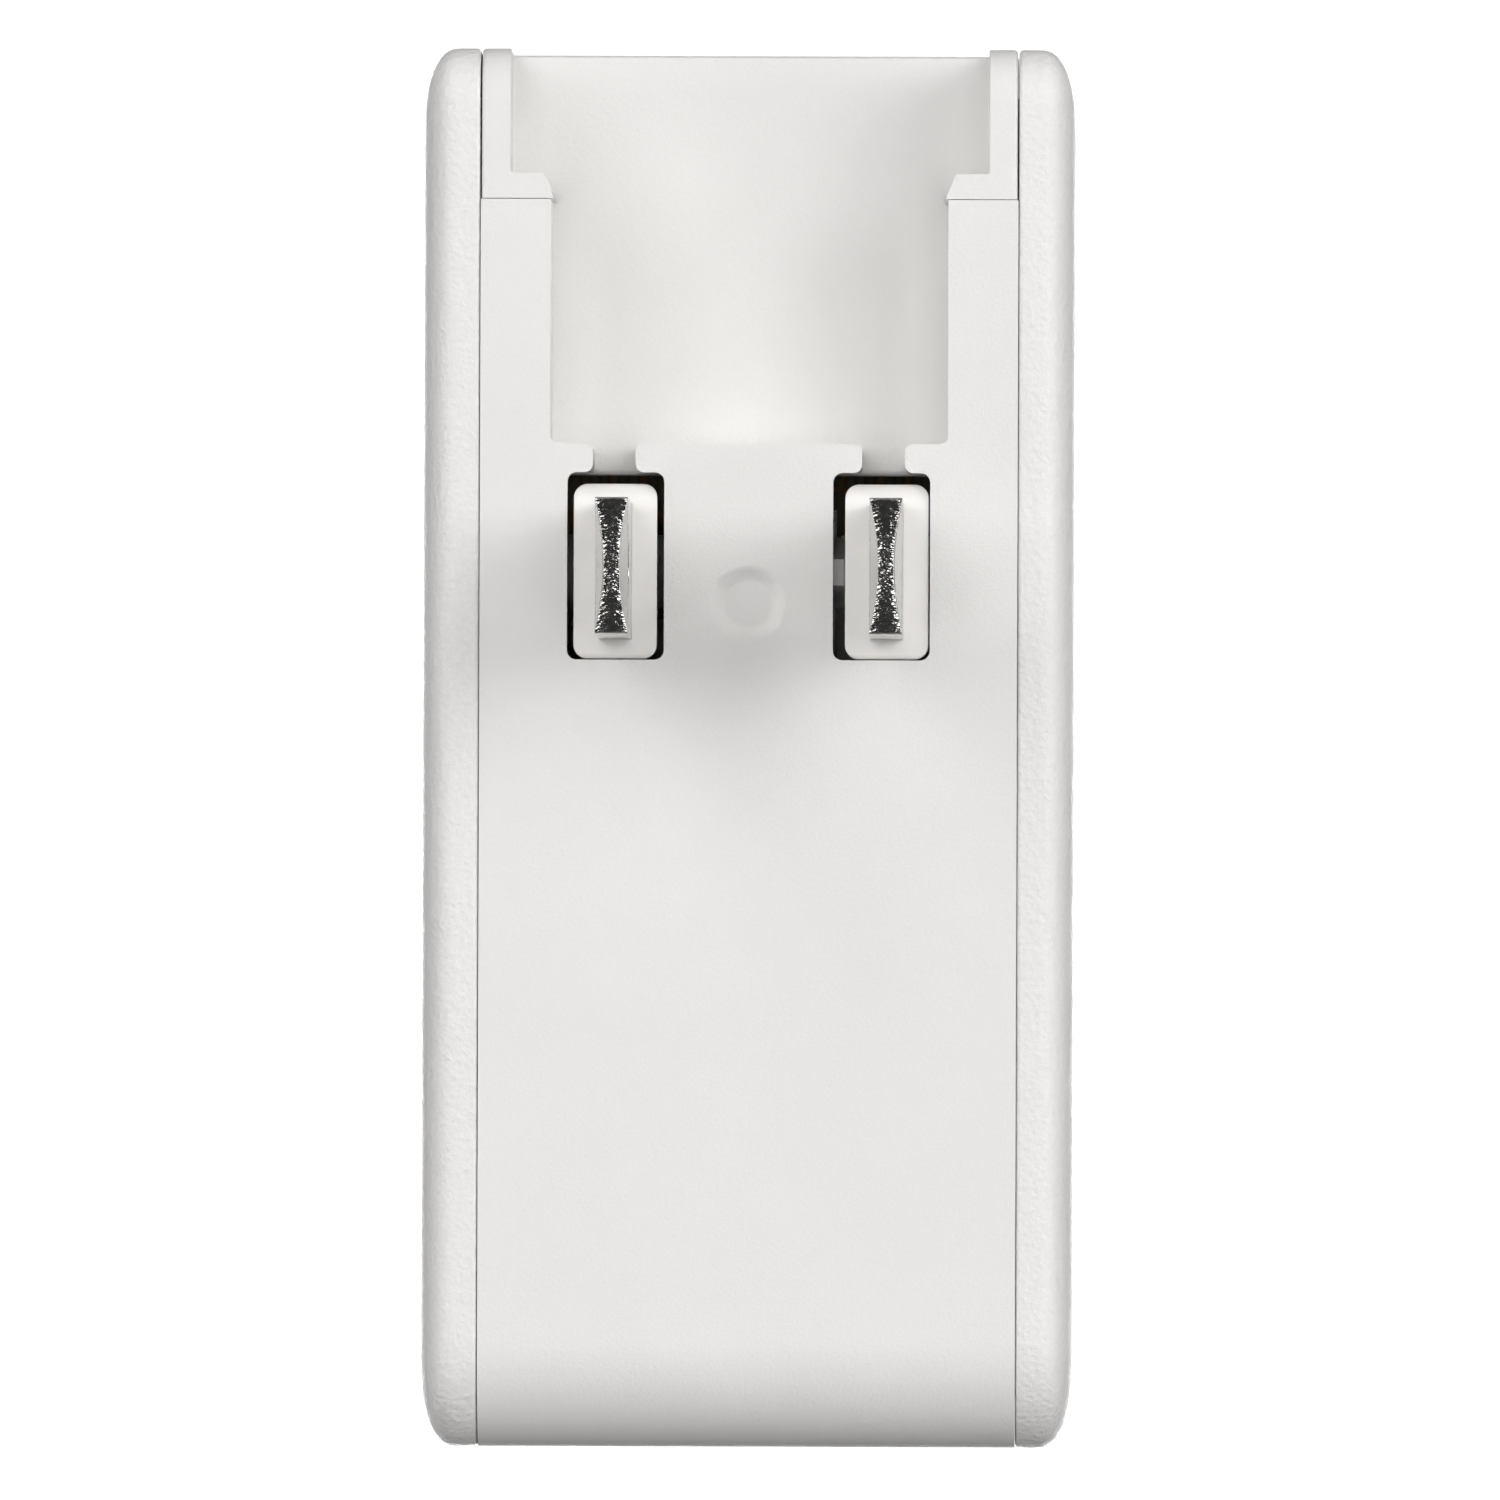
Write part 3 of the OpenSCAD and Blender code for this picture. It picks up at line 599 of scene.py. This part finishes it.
SOCKET_HEIGHT = 5.65 * MM
FINGER_WIDTH = 1.3 * MM
FINGER_TAPER = 0.3
FINGER_SHEET = 0.22 * MM
FINGER_CLEARANCE = 0.04 * MM
FINGER_X = 3.1 * MM
FINGER_ROOT = 7.0 * MM
FINGER_TIP = 4.9 * MM
FINGER_STEPS = 14
# Depth of a finger's dip, how soon it ends, and how much of a half wave it follows
FINGER_DIP = 0.45 * MM
DIP_RATE = 1.15
DIP_SPAN = 1.3


def socket_springs(name, shell):
    """Four fingers, two on each broad side, that spring inwards through the shell's windows."""
    low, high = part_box(shell)
    rear_y, front_y = low[1], high[1]
    if "rear" in shell:
        front_y = rear_y + SOCKET_HEIGHT
    else:
        rear_y = front_y - SOCKET_HEIGHT
    bm = bmesh.new()
    for x in (-FINGER_X, FINGER_X):
        for y, inward in ((rear_y, 1), (front_y, -1)):
            rings = []
            for k in range(FINGER_STEPS + 1):
                t = k / FINGER_STEPS
                z = low[2] + FINGER_ROOT + (FINGER_TIP - FINGER_ROOT) * t
                dip = FINGER_DIP * math.sin(math.pi * min(1.0, t * DIP_RATE) / DIP_SPAN)
                width = FINGER_WIDTH * (1 - FINGER_TAPER * t)
                near = y + inward * (FINGER_CLEARANCE + dip)
                far = near + inward * FINGER_SHEET
                corners = ((-1, near), (1, near), (1, far), (-1, far))
                rings.append([bm.verts.new((x + s * width / 2, yy, z)) for s, yy in corners])
            for one, other in zip(rings, rings[1:]):
                for i in range(4):
                    bm.faces.new((one[i], one[i - 1], other[i - 1], other[i]))
            bm.faces.new(rings[0])
            bm.faces.new(rings[-1][::-1])
    bmesh.ops.recalc_face_normals(bm, faces=bm.faces)
    piece = new_piece(name, bm, "socket_shell", "housing")
    bevel = piece.modifiers.new("edges", "BEVEL")
    bevel.width = 0.04 * MM
    bevel.segments = 2
    bevel.angle_limit = math.radians(50)


socket_springs("rear_socket_springs", "rear_usb_shell")
socket_springs("front_socket_springs", "front_usb_shell")


# ---- Floor, light and camera ---------------------------------------------------


def aimed(obj, place, target):
    obj.location = place
    obj.rotation_mode = "QUATERNION"
    obj.rotation_quaternion = (Vector(target) - Vector(place)).to_track_quat("-Z", "Y")
    bpy.context.scene.collection.objects.link(obj)
    return obj


def way_to(azimuth, elevation):
    """Unit vector towards azimuth 0 on the camera's side, 90 on the right, and elevation."""
    a, e = math.radians(azimuth), math.radians(elevation)
    return Vector((math.sin(a) * math.cos(e), -math.cos(a) * math.cos(e), math.sin(e)))


def area_light(name, azimuth, elevation, power):
    """A square soft box."""
    data = bpy.data.lights.new(name, "AREA")
    data.size = LIGHT_SIZE
    data.energy = power
    place = way_to(azimuth, elevation) * LIGHT_DISTANCE
    return aimed(bpy.data.objects.new(name, data), place, (0, 0, 0))


def make_floor():
    """Pale floor that fades to white at a grazing view and throws nothing back on the object."""
    mesh = bpy.data.meshes.new("floor")
    bm = bmesh.new()
    bmesh.ops.create_grid(bm, x_segments=1, y_segments=1, size=FLOOR_SIZE)
    bm.to_mesh(mesh)
    bm.free()
    floor = bpy.data.objects.new("floor", mesh)
    floor.location.z = cad_box[0].z - FLOOR_GAP
    bpy.context.scene.collection.objects.link(floor)
    floor.visible_diffuse = False
    floor.visible_glossy = False
    floor.visible_shadow = False
    floor.visible_transmission = False
    s = Surface("floor", (0.86, 0.86, 0.86), 0.8)
    glow = s.node("ShaderNodeEmission", Strength=WORLD_SEEN)
    facing = s.node("ShaderNodeLayerWeight", Blend=0.5).outputs["Facing"]
    pale = s.node("ShaderNodeMixShader", Fac=s.spread(facing, *FLOOR_FADE))
    s.tree.links.new(s.shader.outputs[0], pale.inputs[1])
    s.tree.links.new(glow.outputs[0], pale.inputs[2])
    below = s.node("ShaderNodeNewGeometry").outputs["Backfacing"]
    both = s.node("ShaderNodeMixShader", Fac=below)
    s.tree.links.new(pale.outputs[0], both.inputs[1])
    s.tree.links.new(s.node("ShaderNodeBsdfTransparent").outputs[0], both.inputs[2])
    s.tree.links.new(both.outputs[0], s.tree.nodes["Material Output"].inputs["Surface"])
    mesh.materials.append(s.material)


def make_world():
    """White where the camera sees it, dim for the light it gives.

    In reflections it is dark behind the camera and paler to every side.
    """
    world = bpy.data.worlds.new("studio")
    world.use_nodes = True
    tree = world.node_tree
    path = tree.nodes.new("ShaderNodeLightPath")
    shown = tree.nodes["Background"]
    shown.inputs["Color"].default_value = (1, 1, 1, 1)
    shown.inputs["Strength"].default_value = WORLD_DIFFUSE
    for ray, strength in (("Is Glossy Ray", WORLD_GLOSSY), ("Is Camera Ray", WORLD_SEEN)):
        other = tree.nodes.new("ShaderNodeBackground")
        other.inputs["Color"].default_value = (1, 1, 1, 1)
        other.inputs["Strength"].default_value = strength
        if ray == "Is Glossy Ray":
            way = tree.nodes.new("ShaderNodeTexCoord")
            split = tree.nodes.new("ShaderNodeSeparateXYZ")
            fade = tree.nodes.new("ShaderNodeMapRange")
            fade.inputs["From Min"].default_value = GLOSSY_FADE[0]
            fade.inputs["From Max"].default_value = GLOSSY_FADE[1]
            fade.inputs["To Min"].default_value = strength
            fade.inputs["To Max"].default_value = WORLD_GLOSSY_SIDES
            tree.links.new(way.outputs["Generated"], split.inputs[0])
            tree.links.new(split.outputs["Y"], fade.inputs["Value"])
            tree.links.new(fade.outputs[0], other.inputs["Strength"])
        mix = tree.nodes.new("ShaderNodeMixShader")
        tree.links.new(path.outputs[ray], mix.inputs[0])
        tree.links.new(shown.outputs[0], mix.inputs[1])
        tree.links.new(other.outputs[0], mix.inputs[2])
        shown = mix
    tree.links.new(shown.outputs[0], tree.nodes["World Output"].inputs["Surface"])
    bpy.context.scene.world = world


def make_camera():
    data = bpy.data.cameras.new("camera")
    data.sensor_width = 36
    data.lens = data.sensor_width * CAMERA_DISTANCE / VIEW_WIDTH
    data.clip_start = 0.01
    place = AIM + way_to(CAMERA_AZIMUTH, CAMERA_ELEVATION) * CAMERA_DISTANCE
    camera = aimed(bpy.data.objects.new("camera", data), place, AIM)
    roll = Matrix.Rotation(math.radians(CAMERA_ROLL), 3, "Z").to_quaternion()
    camera.rotation_quaternion = camera.rotation_quaternion @ roll
    bpy.context.scene.camera = camera


make_floor()
make_world()
make_camera()
for name, settings in LIGHTS.items():
    light = area_light(name, *settings)
    # The front box would fill the blades' end faces, which stay dark but for their scores
    light.visible_glossy = name != "front"
bpy.context.scene.view_settings.view_transform = "Standard"
